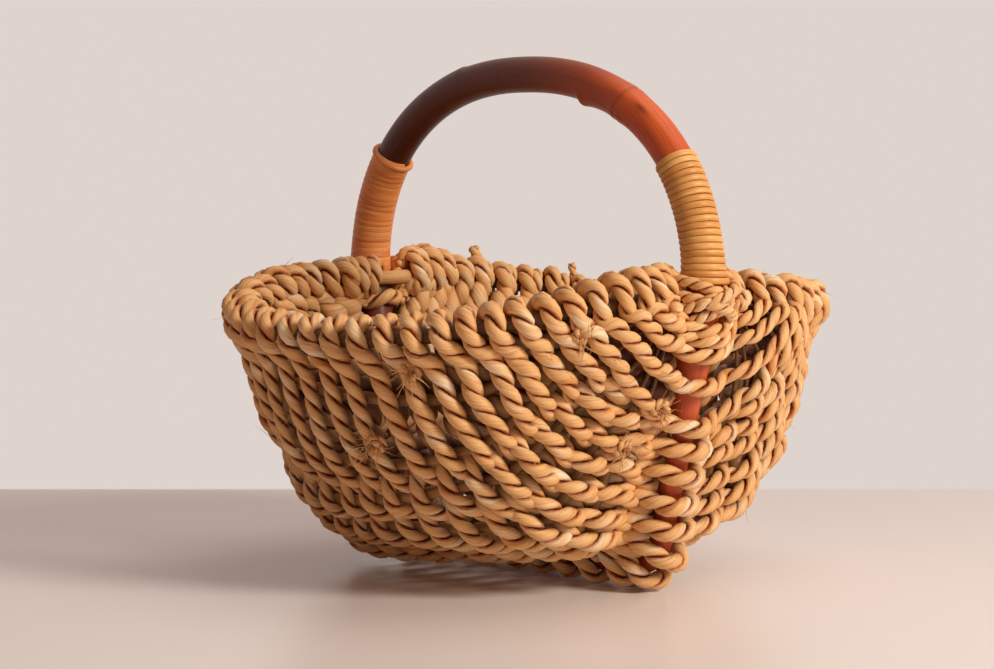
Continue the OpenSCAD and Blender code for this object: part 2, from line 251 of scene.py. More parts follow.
# %% Pole, rim and belly lines
half_turn = np.radians(np.linspace(0, 180, curve_steps))
across_y = rim_half_width * np.abs(np.sin(half_turn)) ** (2 / rim_power)
rim_x = (half_span * np.abs(np.cos(half_turn)) ** (2 / rim_power)
         - hoop_bow * np.exp(-(across_y / hoop_bow_width) ** 2))
rim_half = np.stack([np.sign(np.cos(half_turn)) * rim_x, across_y,
                     rim_height - rim_dip * (across_y / rim_half_width) ** dip_power], axis=1)
rim_line = spaced(rim_half, first_row_rim, rows)
foot = {"z": pole_base_z, "r": foot_bend_r}
pole_under = under_run(foot_half_span, foot, foot)
pole_line = spaced(pole_under, first_row_pole, rows)
belly_line = spaced(under_run(belly_half_length, right_end, left_end), first_row_pole, rows)
arch_x = np.sign(np.cos(half_turn)) * np.abs(np.cos(half_turn)) ** (2 / arch_power)
arch_z = np.abs(np.sin(half_turn)) ** (2 / arch_power)
arch = np.stack([half_span * arch_x, 0 * half_turn, rim_height + arch_rise * arch_z], axis=1)


def low_radius(z):
    """The pole's radius below the rim, where it gets thinner."""
    return mix(pole_r, pole_low_r, smooth((rim_height - z) / (rim_height - pole_base_z)))


print("arch", round(distances(arch)[-1]), "mm, low run", round(distances(pole_under)[-1]), "mm, rim",
      round(2 * distances(rim_half)[-1]), "mm")


# %% The belly as a net of places
half_bays = 2 * (ribs + 1)
rib_wave, rib_waves, rib_wave_lag = 0.5, 1.3, 0.9
narrow_start = 0.85


def section(j):
    """The wall's outline from the pole up to the rim at station j of the net."""
    w = smooth(j / rows)
    power = mix(right_end["power"], left_end["power"], w)
    taper = mix(right_end["taper"], left_end["taper"], w)
    middle = np.array([(rim_line[j, 0] + belly_line[j, 0]) / 2, 0, rim_height])
    a = np.radians(np.linspace(0, 90, 91))
    s, c = np.sin(a) ** (2 / power), np.cos(a) ** (2 / power)
    curve = (middle + np.outer(s * (1 - taper * c), rim_line[j] - middle)
             + np.outer(c, belly_line[j] - middle))
    pole_room = 2 * (low_radius(pole_line[j, 2]) + seat_gap) + 1
    start = min(pole_room, narrow_start * rim_line[j, 1])
    k = int(np.argmax(curve[:, 1] > start))
    share = (start - curve[k - 1, 1]) / (curve[k, 1] - curve[k - 1, 1])
    return np.vstack([mix(curve[k - 1], curve[k], share), curve[k:]])


def wavy_section(j):
    """Places up the wall. The ribs were bent by hand, so they wander a little up and down."""
    h = np.arange(half_bays + 1)
    wander = (rib_wave * np.sin(2 * np.pi * rib_waves * j / rows + rib_wave_lag * h)
              * np.sin(np.pi * h / half_bays))
    line = section(j)
    return placed(line, (h + wander) / half_bays * distances(line)[-1])


net = np.stack([wavy_section(j) for j in range(rows + 1)])
net_along = unit(np.gradient(net, axis=0))
net_out = unit(np.cross(net_along, np.gradient(net, axis=1)))
net_up = unit(np.cross(net_out, net_along))
pole_out = unit(np.cross(np.gradient(pole_line, axis=0), [0, 1, 0]))
print("net", net.shape, "places")

# %% Room between the ribs
rib_room = np.linalg.norm(net[:, 4] - net[:, 2], axis=1)
freedom = rise(rib_room, start=6, end=14)
net_rows = np.arange(rows + 1)
left_end_share = 0.9 * rise(net_rows, start=47, end=55)
thin_left = rise(net_rows, start=18, end=38) * (1 - left_end_share)
crowded_shift = -(hoop_r + seat_gap) - 1
free_shift = rib_r + seat_gap + 2.5 - 2.2 * thin_left
rib_shift = -mix(crowded_shift, free_shift, freedom)
print("ribs up to", round(float(rib_room.max()), 1), "mm apart")

# %% [markdown]
# ## Round pieces along a line
# A rod, a cane and a ply of cord are all the same thing to a modeller: a ring of points carried
# along a line. A curve with a bevel would do that too, but it gives no say over each ring, and
# the fibres need a map that runs along the piece in millimetres. So the rings are laid directly.

# %% Rings along a line
def frames_along(points, closed=False):
    """Three directions at each point: ahead, and two across that turn as little as they can."""
    if closed:
        tangent = unit(np.roll(points, -1, axis=0) - np.roll(points, 1, axis=0))
    else:
        tangent = unit(np.gradient(points, axis=0))
    normal = np.zeros_like(points)
    side = np.cross(tangent[0], [0.0, 1.0, 0.0])
    if np.linalg.norm(side) < 0.1:
        side = np.cross(tangent[0], [0.0, 0.0, 1.0])
    for i, t in enumerate(tangent):
        side = side - (side @ t) * t
        side = side / np.linalg.norm(side)
        normal[i] = side
    return tangent, normal, np.cross(tangent, normal)


def ring_mesh(name, tubes):
    """tubes: a list of (rings in mm with shape (n, sides, 3), lengths along in mm, closed, tone)."""
    verts, faces, maps, tones, count = [], [], [], [], 0
    for rings, along, closed, tone in tubes:
        n, sides = rings.shape[:2]
        verts.append(rings.reshape(-1, 3))
        tones.append(np.broadcast_to(tone, (n, sides)).ravel())
        last = n if closed else n - 1
        i, k = np.meshgrid(np.arange(last), np.arange(sides), indexing="ij")
        a, b = i * sides + k, i * sides + (k + 1) % sides
        c, d = (i + 1) % n * sides + (k + 1) % sides, (i + 1) % n * sides + k
        faces.append(np.stack([a, b, c, d], axis=-1).reshape(-1, 4) + count)
        u0, u1 = along[i], np.where(i + 1 < n, along[(i + 1) % n], along[-1] + along[1] - along[0])
        v0, v1 = k / sides, (k + 1) / sides
        maps.append(np.stack([u0, v0, u0, v1, u1, v1, u1, v0], axis=-1).reshape(-1, 2))
        count += n * sides
    verts, faces, maps = np.vstack(verts) * MM, np.vstack(faces), np.vstack(maps)
    mesh = bpy.data.meshes.new(name)
    mesh.from_pydata(verts.tolist(), [], faces.tolist())
    layer = mesh.uv_layers.new(name="along")
    layer.data.foreach_set("uv", maps.astype(np.float32).ravel())
    tone = mesh.attributes.new("tone", "FLOAT", "POINT")
    tone.data.foreach_set("value", np.concatenate(tones).astype(np.float32))
    piece = bpy.data.objects.new(name, mesh)
    bpy.context.scene.collection.objects.link(piece)
    bpy.ops.object.select_all(action="DESELECT")
    piece.select_set(True)
    bpy.context.view_layer.objects.active = piece
    bpy.ops.object.mode_set(mode="EDIT")
    bpy.ops.mesh.select_all(action="SELECT")
    bpy.ops.mesh.fill_holes(sides=0)
    bpy.ops.mesh.normals_make_consistent(inside=False)
    bpy.ops.object.mode_set(mode="OBJECT")
    bpy.ops.object.shade_smooth()
    return piece


def rod_rings(points, radius, sides, closed=False, tone=1.0):
    """A round rod along the points. radius: one for all, one for each ring or one for each corner."""
    tangent, normal, other = frames_along(points, closed)
    angle = 2 * np.pi * np.arange(sides) / sides
    wheel = (np.cos(angle)[None, :, None] * normal[:, None, :]
             + np.sin(angle)[None, :, None] * other[:, None, :])
    radius = np.asarray(radius, float)
    radius = np.broadcast_to(radius[:, None] if radius.ndim == 1 else radius, (len(points), sides))
    return points[:, None, :] + wheel * radius[:, :, None], distances(points), closed, tone


def make_piece(name, tubes, material, slot, *nodes):
    """A piece with its material and body, and the solids that it stands for."""
    piece = ring_mesh(name, tubes)
    piece.data.materials.append(material)
    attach(piece, "root")
    if nodes:
        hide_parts(*nodes)
    print(piece.name, len(piece.data.polygons), "faces, stands for", nodes)


# %% [markdown]
# ## Seagrass cord
# The wall is woven from one long cord of two plies, twisted to the left, each a bundle of dried
# grass with fine dark lines along its fibres. Noise in plain space would cut across a ply that
# winds, so the lines are drawn on the ply's own map, which runs along it in millimetres.

# %% Seagrass material
def fibre_noise(tree, along_mm, around_mm, girth_mm, detail, roughness=0.5):
    """A piece's own map, and noise stretched on it to one fibre's length and width."""
    place = add(tree, "UVMap", uv_map="along")
    sizes = (1 / along_mm, girth_mm / around_mm, 1)
    scale = add(tree, "VectorMath", {0: place.outputs[0], 1: sizes}, operation="MULTIPLY")
    noise = add(tree, "TexNoise", {"Vector": scale.outputs[0], "Scale": 1.0, "Detail": detail,
                                   "Roughness": roughness})
    return place.outputs[0], noise.outputs["Fac"]


def finish_fibres(tree, shader, colour, layers, lines, strength, depth, roughness, specular):
    """Darkens a colour by layers of (weight, node) and raises the lines as a bump."""
    for weight, layer in layers:
        colour = add(tree, "Mix", {"Factor": weight, "A": colour, "B": layer.outputs["Color"]},
                     data_type="RGBA", blend_type="MULTIPLY").outputs["Result"]
    bump = add(tree, "Bump", {"Height": lines, "Strength": strength, "Distance": depth * MM})
    tree.links.new(colour, shader.inputs["Base Color"])
    tree.links.new(bump.outputs[0], shader.inputs["Normal"])
    shader.inputs["Roughness"].default_value = roughness
    shader.inputs["Specular IOR Level"].default_value = specular


# Seagrass, dried in the sun and twisted by hand while damp: a dull, fibrous straw colour with orange
# leaves in it. Painted shade darkens the crease between the plies, and the tone paints shade brown
# where the cord runs under ribs, behind the pole and on the wall's inside.
# Its leaf veins are about 0.2 mm apart, too fine to show, so they are drawn 0.75 mm wide.
ply_girth, vein_long, vein_wide, leaf_long, leaf_wide = 17.0, 9.0, 0.75, 34.0, 9.0
pale, straw, orange, vein_dark = "#fae4c0", "#ecb87c", "#d4843e", "#6a3c20"
seagrass, tree, shader = new_material("dried_seagrass")
place, lines = fibre_noise(tree, vein_long, vein_wide, ply_girth, detail=3.0, roughness=0.6)
_, patches = fibre_noise(tree, leaf_long, leaf_wide, ply_girth, detail=2.0)
leaves = add(tree, "ValToRGB", {"Fac": patches},
             stops=[(0.3, pale), (0.47, straw), (0.6, straw), (0.72, orange)])
veins = add(tree, "ValToRGB", {"Fac": lines},
            stops=[(0.3, vein_dark), (0.44, "#e8d4bc"), (0.6, "#ffffff")])
parts = add(tree, "SeparateXYZ", {0: place})
inward = add(tree, "Math", {0: parts.outputs["Y"], 1: 0.5}, operation="SUBTRACT")
inward = add(tree, "Math", {0: inward.outputs[0]}, operation="ABSOLUTE")
# Painted shade in the crease: the side of each ply that faces the other ply is darkened.
crease = add(tree, "ValToRGB", {"Fac": inward.outputs[0]},
             stops=[(0.2, "#ffffff"), (0.32, "#b06432"), (0.44, "#4a2212")])
# Painted shade from the tone: cord under ribs, behind the pole and facing into the wall turns brown.
tone = add(tree, "Attribute", attribute_name="tone")
painted_shade = add(tree, "ValToRGB", {"Fac": tone.outputs["Fac"]},
            stops=[(0.0, "#582e1b"), (1.0, "#ffffff")])
finish_fibres(tree, shader, leaves.outputs["Color"], [(0.5, veins), (0.85, crease), (1.0, painted_shade)],
              lines, strength=0.5, depth=0.5, roughness=0.55, specular=0.35)
print("material:", seagrass.name, "with", len(tree.nodes), "nodes")

# %% [markdown]
# ## The weaver's path
# The cord goes to and fro across the basket, over one rib and under the next. It loops over the rim
# hoop and comes back as the next row, which does the opposite. Just below the rim every second row
# floats over two ribs, and near the crossings, where the ribs crowd, whole rows stay outside or
# inside. A wall with a bump map would look right from one side only, so the path is laid as a list
# of places, one at each rib and one between, with a smooth curve through them.

# %% Where a row lies
cord_r = 4.7
weave_free = rise(rib_room, start=8, end=15)
weaver_rows = 56
row_number = np.arange(weaver_rows + 1)
belly_gap = 0.32
row_gap = (1 + belly_gap * rise(row_number, start=17, end=26)
           * rise(row_number, start=51, end=42))
row_at = np.cumsum(row_gap) - row_gap
row_at *= rows / row_at[-1]
# Where these rows cross the right-hand leg, read off the photo.
leg_rows = [0, 1, 3, 5, 7, 9, 11, 13, 15, 17, 19, 21, 23, 36]
leg_at = [0, 0, 0.75, 1.98, 4.35, 7.33, 9.28, 11.29, 13.43, 15.5, 17.26, 18.73, 20.6, row_at[36]]
float_from = 2 * (ribs - 1)
belly_spread, left_spread, stitch_lean, float_lean = 2.4, 0.2, 0.26, 0.09


def between(table, t):
    """A value of the net at a station that may lie between two of its rows."""
    low = min(int(t), rows - 1)
    return mix(table[low], table[low + 1], t - low)


def offset_at(j, k):
    """How far out of the rib line row j lies at rib k, in shares of its full swing."""
    over_rib = 1.0 if (j + min(k, ribs - 1)) % 2 == 1 else -1.0
    over_row = 1.0 if j % 2 == 1 else -1.0
    return mix(over_row, over_rib, between(weave_free, row_at[j]))


def station(j, h):
    """Rows crowd together on the right leg, spread on the belly, and each stitch leans.
    High up, an even row stays inside, halfway between its neighbours."""
    if j % 2 == 0 and h >= float_from and 0 < j < weaver_rows:
        return (station(j - 1, h) + station(j + 1, h)) / 2
    w = h / half_bays
    t = row_at[j]
    if j < leg_rows[-1]:
        t = mix(t, np.interp(j, leg_rows, leg_at), (1 - w) ** 1.5)
    spread = belly_spread * (1.0 if row_at[j] < rows / 2 else left_spread)
    t -= spread * math.sin(2 * math.pi * row_at[j] / rows) * math.sin(math.pi * w) ** 0.7
    if h % 2 == 1:
        swing = (offset_at(j, h // 2) - offset_at(j, h // 2 + 1)) / 2
        t += stitch_lean * row_gap[j] * swing
    if j % 2 == 1 and float_from <= h < half_bays:
        t -= float_lean * (half_bays - h) * between(weave_free, row_at[j])
    return min(max(t, 0.0), float(rows))


print(weaver_rows + 1, "rows, gaps up to", round(float(row_gap.max()), 2), "times the closest")

# %% How thick the cord lies
# At the right-hand crossing, for even and odd rows.
crowd_size, crowd_rows = (1.2, 0.84), (20, 14)
loop_size, loop_size_left = 0.94, 0.86
wall_size_left, wall_size_low, wall_size_high = 0.75, 0.87, 0.95
foot_row, foot_rows, foot_swell = 16, 8, 0.05


def cord_size(j, h):
    """The cord is drawn tight where rows crowd, and the left-hand half is woven with thinner cord."""
    right_crowd = mix(crowd_size[j % 2], 1.0, smooth(j / crowd_rows[j % 2]))
    left = between(thin_left, row_at[j])
    if h >= half_bays:
        return right_crowd * mix(loop_size, loop_size_left, left)
    foot = 1 + foot_swell * math.exp(-((j - foot_row) / foot_rows) ** 2) if h == 0 else 1.0
    high = mix(wall_size_low, wall_size_high, smooth((h - float_from) / 3))
    return right_crowd * mix(1.0, wall_size_left, left) * foot * high


print("first loop of cord:", round(2 * cord_r * cord_size(1, half_bays), 1), "mm thick")


# %% One row's places
# How far out a row lies at the pole and between ribs. Pairs are for even and odd rows.
pole_over, pole_behind, pole_behind_free, pole_pinch = 0.35, -0.8, 0.3, 0.95
first_bay_hold, last_bay_hold = (0.8, 0.2), (0.1, 0.85)
stitch_hold, stitch_hold_left, stitch_pinch = 0.4, 0.1, 0.97
under_swell, under_swell_left = 1.14, 1.36
high_spring = 0.2
shade_swing, shade_middle = 0.8, 0.7


def half_row(j):
    """Places, thickness, tone and outward direction from the pole to the last bay, on the far side.
    High up, a row that stays inside springs out between two ribs."""
    places, thick, tones, outs = [], [], [], []
    free, left = between(weave_free, row_at[j]), between(thin_left, row_at[j])
    for h in range(half_bays):
        if h == 0:
            share = pole_over if j % 2 == 1 else mix(pole_behind, pole_behind_free, free)
            pinch = pole_pinch
        elif h % 2 == 0:
            share = offset_at(j, h // 2)
            pinch = mix(1.0, mix(under_swell, under_swell_left, left), smooth(-share))
        else:
            low, high = offset_at(j, h // 2), offset_at(j, h // 2 + 1)
            even = abs(low + high) / 2
            hold = {1: first_bay_hold[j % 2], half_bays - 1: last_bay_hold[j % 2]}.get(
                h, mix(stitch_hold, stitch_hold_left, left))
            share, pinch = (low + high) / 2 + hold * (1 - even), mix(stitch_pinch, 1.0, even)
            if h > float_from and share < 0:
                share *= mix(1.0, high_spring, free)
        size = cord_size(j, h) * pinch
        t = station(j, h)
        out = between(net_out[:, h], t)
        stand_off = between(rib_shift, t) + share * (rib_r + cord_r * size)
        places.append(between(net[:, h], t) + out * stand_off)
        thick.append(size)
        # Painted shade: a row is drawn darker where it passes under a rib into the wall.
        tones.append(smooth(share * shade_swing + shade_middle))
        outs.append(out)
    return np.array(places), np.array(thick), np.array(tones), np.array(outs)


print("half a row has", len(half_row(1)[0]), "places")

# %% Round the pole
# Painted shade: where an even row runs behind the pole, its cord is drawn darker, darkest straight
# behind it.
pole_press, behind_shade = 0.3, 0.7
over_turns, behind_turns = np.radians([-50, 0, 50]), np.radians([-105, 180, 105])


def pole_places(j):
    """An odd row lies on the pole's outside, an even one behind it, close along its flanks."""
    t = station(j, 0)
    middle, out = between(pole_line, t), between(pole_out, t)
    size = cord_size(j, 0)
    reach = low_radius(middle[2]) + cord_r * size - pole_press
    turns = over_turns if j % 2 == 1 else behind_turns
    places = middle + reach * (np.outer(np.cos(turns), out)
                               + np.outer(np.sin(turns), [0.0, 1.0, 0.0]))
    tones = np.full(3, 1.0) if j % 2 == 1 else np.array([behind_shade, 0.0, behind_shade])
    return places, np.full(3, size), tones, np.tile(out, (3, 1))


print("row 1 passes the pole", round(float(pole_places(1)[0][1, 2])), "mm up")


# %% Loops over the rim
loop_turns = np.radians([-38, -8, 25, 58, 90, 122, 158, 195, 228])
loop_press = 0.4
# Loops that stand up higher than the rest, by row, in millimetres.
tall_far = {55: 5.0, 53: 3.5, 49: 1.5, 43: 2.0, 37: 1.5, 29: 1.5, 3: 2.0, 1: 2.5}
tall_near = {1: 6.0, 3: 6.5, 5: 5.0, 7: 3.0, 9: 1.5}


def over_hoop(centre, out, up, turns, reach, lift):
    """Places round the rim hoop, drawn up higher by the lift."""
    tall = 1 + lift / reach * np.clip(np.sin(turns), 0, 1)
    return centre + reach * (np.cos(turns)[:, None] * out + (np.sin(turns) * tall)[:, None] * up)


def rim_loop(outer, inner, lift=0.0):
    """Places over the rim hoop, from the outside of one row to the inside of the other."""
    share = np.linspace(0, 1, len(loop_turns))[:, None]
    centre, out, up = (mix(between(table[:, half_bays], row_at[outer]),
                           between(table[:, half_bays], row_at[inner]), share)
                       for table in (net, net_out, net_up))
    size = cord_size(outer, half_bays)
    reach = hoop_r + cord_r * size - loop_press
    places = over_hoop(centre, out, up, loop_turns, reach, lift)
    return places, np.full(len(places), size), out


print("a loop has", len(rim_loop(1, 2)[0]), "places")


# %% The whole weaver
dice = np.random.default_rng(7)
place_jitter, thick_jitter, floor_touch = 0.55, 0.03, 0.98
mirror_y = np.array([1.0, -1.0, 1.0])
# Softer, thicker lengths of cord: on the far side, at the left-hand end and low on the belly.
bay = np.arange(half_bays)
right_thick, far_thick, left_outer_thick, inner_thick = 0.88, 1.28, 1.5, 1.4
end_thick = mix(1.6, 1.12, rise(bay, start=5, end=8))
left_thick = mix(2.3, 1.75, rise(bay, start=6, end=9))
belly_thick = 1 + 0.18 * np.exp(-((bay - 2) / 1.8) ** 2)
stretches, row_starts, loop_tops, count = [], [], [], 0


def lay(places, sizes, tones, outs, backwards):
    """Adds one stretch of the weaver, as it runs or turned round."""
    stretch = np.column_stack([places, sizes, tones, outs])
    stretches.append(stretch[::-1] if backwards else stretch)
    return len(stretch)


for j in range(weaver_rows + 1):
    far, thick, tone, outs = half_row(j)
    pole_row = pole_places(j)
    left_swell = mix(left_thick, left_outer_thick, tone)
    far_swell = mix(right_thick, far_thick, rise(row_at[j], start=17, end=26))
    far_swell = mix(far_swell, left_swell, between(thin_left, row_at[j]))
    near_swell = mix(1.0, end_thick, rise(row_at[j], start=45, end=49))
    near_swell = near_swell * mix(1.0, belly_thick, rise(row_at[j], start=16, end=22))
    near_swell = near_swell * mix(mix(inner_thick, 1.0, tone), 1.0,
                                  rise(row_at[j], start=42, end=46))
    row_starts.append(count)
    count += lay(np.vstack([(far * mirror_y)[::-1], pole_row[0], far]),
                 np.concatenate([(thick * near_swell)[::-1], pole_row[1], thick * far_swell]),
                 np.concatenate([tone[::-1], pole_row[2], tone]),
                 np.vstack([(outs * mirror_y)[::-1], pole_row[3], outs]), backwards=j % 2 == 1)
    if j < weaver_rows:
        near_loop = j % 2 == 1
        odd, even = (j, j + 1) if near_loop else (j + 1, j)
        flip = mirror_y if near_loop else np.ones(3)
        loop, thick, outs = rim_loop(odd, even, (tall_near if near_loop else tall_far).get(odd, 0.0))
        rim_way = between(net_along[:, half_bays], row_at[odd]) * flip
        loop_tops.append((count + len(loop) // 2, rim_way))
        # Painted shade: each loop is drawn darker as it turns over to the rim's inside.
        count += lay(loop * flip, thick, np.interp(loop_turns, [2.0, 3.6], [1.0, 0.5]), outs * flip,
                     backwards=not near_loop)
weaver_table = np.vstack(stretches)
weaver_table[:, :3] += dice.normal(0, place_jitter, (count, 3))
weaver_table[:, 3] *= 1 + dice.normal(0, thick_jitter, count)
weaver_table[:, 2] = np.maximum(weaver_table[:, 2], cord_r * weaver_table[:, 3] * floor_touch)
print("weaver:", count, "places in", weaver_rows + 1, "rows")


# %% A smooth line through the places
relax_passes, curve_parts, ring_step = 3, 8, 2.0


def smooth_line(points, values, step):
    """A curve through the points, even steps along it, and the values carried with it."""
    p = np.vstack([2 * points[0] - points[1], points, 2 * points[-1] - points[-2]])
    w = np.linspace(0, 1, curve_parts + 1)[:-1][None, :, None]
    a, b, c, d = (p[i:len(p) - 3 + i][:, None, :] for i in range(4))
    curve = 0.5 * (2 * b + (c - a) * w + (2 * a - 5 * b + 4 * c - d) * w ** 2
                   + (3 * b - a - 3 * c + d) * w ** 3)
    curve = np.vstack([curve.reshape(-1, 3), points[-1]])
    along = distances(curve)
    where = np.linspace(0, along[-1], int(along[-1] / step) + 1)
    carried = [np.interp(where, along[::curve_parts], v) for v in values]
    line = placed(curve, where)
    for _ in range(relax_passes):
        line[1:-1] = 0.25 * line[:-2] + 0.5 * line[1:-1] + 0.25 * line[2:]
    return line, where, along[::curve_parts], *carried


weaver, weaver_along, place_along, weaver_thick, weaver_shade, *weaver_out = smooth_line(
    weaver_table[:, :3], weaver_table[:, 3:].T, ring_step)
weaver_out = unit(np.stack(weaver_out, axis=1))
print("the weaver is", round(weaver_along[-1] / 1000, 1), "m of cord")

# %% [markdown]
# ## Two plies
# Each ply winds round the cord's own line, half a turn behind the other. With a Screw modifier bent
# along a curve every turn would be alike. Here the rings are laid one by one: a little wider than
# thick, as a soft bundle is, and looser or tighter along the cord. The map's second value is 0.5 on
# the outside of the cord, so that the material can paint shade into the crease.

# %% Plies
ply_pitch = 19.5
ply_offset, ply_thick, ply_wide = 2.5, 2.3, 3.05
ply_sides = 8
long_wave, short_wave = (0.5, 41.0), (0.35, 17.3)
bulge_share, bulge_mm = 0.06, 7.1
floor_clear, ply_map_gap = 0.05, 1000
# Painted shade on the sides of the cord that face into the wall, darker low down in the basket.
inward_shade = 0.45


def ply_tubes(line, thick, along, tone, pitch=ply_pitch, phase=0.0, flat_at=(), out=None):
    """flat_at: places (length along, direction) where the two plies lie side by side.
    out: the wall's outward direction. The tone, painted shade, is laid only on what faces that way,
    and what faces into the wall gets painted shade of its own, darker low down."""
    tangent, normal, other = frames_along(line)
    wave = (phase + long_wave[0] * np.sin(along / long_wave[1])
            + short_wave[0] * np.sin(along / short_wave[1] + 1.0))
    if flat_at:
        ask = []
        for place, direction in flat_at:
            i = int(np.argmin(np.abs(along - place)))
            angle = math.atan2(direction @ other[i], direction @ normal[i])
            turn = angle + 2 * np.pi * along[i] / pitch - wave[i]
            ask.append((along[i], (turn + np.pi / 2) % np.pi - np.pi / 2))
        wave = wave + np.interp(along, *zip(*ask))
    tubes = []
    for start in (0.0, np.pi):
        angle = start - 2 * np.pi * along / pitch + wave
        outward = np.cos(angle)[:, None] * normal + np.sin(angle)[:, None] * other
        size = thick[:, None]
        centre = line + outward * ply_offset * size
        ply_tangent = unit(np.gradient(centre, axis=0))
        outward = unit(outward - (outward * ply_tangent).sum(1, keepdims=True) * ply_tangent)
        sideways = np.cross(ply_tangent, outward)
        around = -np.pi + 2 * np.pi * np.arange(ply_sides) / ply_sides
        bulge = 1 + bulge_share * np.sin(along / bulge_mm + start)[:, None]
        deep, wide = np.cos(around)[None, :] * ply_thick, np.sin(around)[None, :] * ply_wide
        rings = (centre[:, None, :] + (deep * size * bulge)[:, :, None] * outward[:, None, :]
                 + (wide * size * bulge)[:, :, None] * sideways[:, None, :])
        rings[:, :, 2] = np.maximum(rings[:, :, 2], floor_clear)
        ring_tone = np.broadcast_to(tone[:, None], rings.shape[:2])
        if out is not None:
            facing = ((rings - line[:, None, :]) * out[:, None, :]).sum(-1) / (cord_r * size)
            inside = mix(inward_shade, 1.0, rise(line[:, 2], start=70, end=115))[:, None]
            ring_tone = mix(inside, ring_tone, smooth(shade_middle + shade_swing * facing))
        tubes.append((rings, along + start * ply_map_gap, False, ring_tone))
    return tubes


print("turns in the weaver:", round(weaver_along[-1] / ply_pitch))

# %% The woven wall in four stretches of cord
cuts = np.searchsorted(weaver_along, place_along[[row_starts[j] for j in (14, 28, 42)]])
edges = [0, *cuts.tolist(), len(weaver) - 1]
for n, (start, end) in enumerate(zip(edges[:-1], edges[1:]), start=1):
    part = slice(start, end + 1)
    tops = [(place_along[i], way) for i, way in loop_tops
            if weaver_along[start] < place_along[i] < weaver_along[end]]
    plies = ply_tubes(weaver[part], weaver_thick[part], weaver_along[part], weaver_shade[part],
                      flat_at=tops, out=weaver_out[part])
    make_piece(f"weaver_{n}", plies, seagrass, "seagrass_cord", *(["woven_wall"] if n == 1 else []))

# %% [markdown]
# ## Rattan
# The pole is a whole rattan stem, peeled and varnished red-brown. The rim hoop and the ribs are
# thin rattan rods left bare. Both show long fibres, and the pole has a ring at its joint, the stub
# of a shoot and a scar. A bevelled curve would be smooth all along, so the pole's radius is worked
# out for each corner of each ring, and its colours, partly its own and partly painted light and
# shade, are set along its length.

# %% Rattan materials
pore_long, pore_wide, patch_long, patch_wide = 60.0, 1.1, 45.0, 14.0


def rattan_material(name, stops, line_colour, girth, roughness, coat, tint=None):
    """Pores in long lines over soft patches. The real pores are about 0.3 mm wide, too fine to show,
    so they are drawn 1.1 mm wide. tint: colours along the piece, as (length in mm, colour)."""
    material, tree, shader = new_material(name)
    place, lines = fibre_noise(tree, pore_long, pore_wide, girth, detail=4.0, roughness=0.65)
    _, patches = fibre_noise(tree, patch_long, patch_wide, girth, detail=2.0)
    colour = add(tree, "ValToRGB", {"Fac": patches}, stops=stops)
    # The tone darkens the rattan: on the pole it draws the joint's groove, a scar and a tick; on the
    # rim hoop and the ribs it is painted shade where they lie under the cords.
    tone = add(tree, "Attribute", attribute_name="tone")
    layers = [(0.5, add(tree, "ValToRGB", {"Fac": lines},
                        stops=[(0.32, line_colour), (0.5, "#ffffff")])),
              (1.0, add(tree, "ValToRGB", {"Fac": tone.outputs["Fac"]},
                        stops=[(0.0, "#2a120a"), (1.0, "#ffffff")]))]
    if tint:
        length = tint[-1][0]
        along = add(tree, "SeparateXYZ", {0: place})
        share = add(tree, "Math", {0: along.outputs["X"], 1: length}, operation="DIVIDE")
        layers.append((1.0, add(tree, "ValToRGB", {"Fac": share.outputs[0]},
                                stops=[(mm / length, c) for mm, c in tint])))
    finish_fibres(tree, shader, colour.outputs["Color"], layers, lines, strength=0.2, depth=0.3,
                  roughness=roughness, specular=0.3)
    shader.inputs["Coat Weight"].default_value = coat
    shader.inputs["Coat Roughness"].default_value = 0.18
    return material


# Rattan core, drawn through a die and left bare: dry, light tan, with dark pores and a faint sheen.
bare_rattan = rattan_material("bare_rattan", [(0.3, "#b98550"), (0.5, "#cf9a60"), (0.7, "#dcae74")],
                              "#8a5c38", girth=16.0, roughness=0.5, coat=0.0)
print("material:", bare_rattan.name)

# %% The bent pole's line and skin
low_run = spaced(pole_under[::-1], 0, 370)
high_run = spaced(arch, 0, 300)
pole = np.vstack([high_run[:-1], low_run[:-1]])
pole_along = distances(pole)
pole_sides = 32
arch_along = distances(arch)


def arch_place(degrees):
    return float(np.interp(degrees, np.degrees(half_turn), arch_along))


joint, stub, scar, tick, step = (arch_place(d) for d in (57, 71, 50, 94, 108))
worn_depth = 0.9
slim = low_radius(pole[:, 2]) - worn_depth * rise(pole[:, 2], start=115, end=75)
skin = np.where(np.arange(len(pole)) < len(high_run) - 1, pole_r, slim)[:, None]
around = 2 * np.pi * np.arange(pole_sides) / pole_sides
inner = np.exp(-(np.minimum(around, 2 * np.pi - around) / 0.75) ** 2)[None, :]
outer = np.exp(-((around - np.pi) / 0.9) ** 2)[None, :]
run = pole_along[:, None]
# Heights in millimetres of the joint's swelling, the groove in it, the stub and the step.
swelling, groove, stub_height, step_height = 0.45, 0.35, 2.2, 0.7
skin = (skin + swelling * np.exp(-((run - joint) / 5) ** 2)
        - groove * np.exp(-((run - joint) / 0.8) ** 2))
skin = skin + stub_height * inner * np.where(run < stub, np.exp((run - stub) / 9),
                                             np.exp((stub - run) / 1.2))
skin = skin + step_height * outer * np.where(run > step, np.exp((step - run) / 12),
                                             np.exp((run - step) / 1.5))
print("pole skin from", round(float(skin.min()), 1), "to", round(float(skin.max()), 1), "mm")

# %% Marks on the pole
marks = 1 - 0.3 * np.exp(-((run - joint) / 0.9) ** 2) + 0 * inner
marks = marks - 0.95 * np.exp(-((run - scar) / 4.0) ** 2 - ((around[None, :] - 2.3) / 0.11) ** 2)
marks = marks - 0.5 * np.exp(-((run - tick) / 0.9) ** 2 - ((around[None, :] - 1.4) / 0.35) ** 2)
arch_end, pole_end = float(arch_along[-1]), float(pole_along[-1])
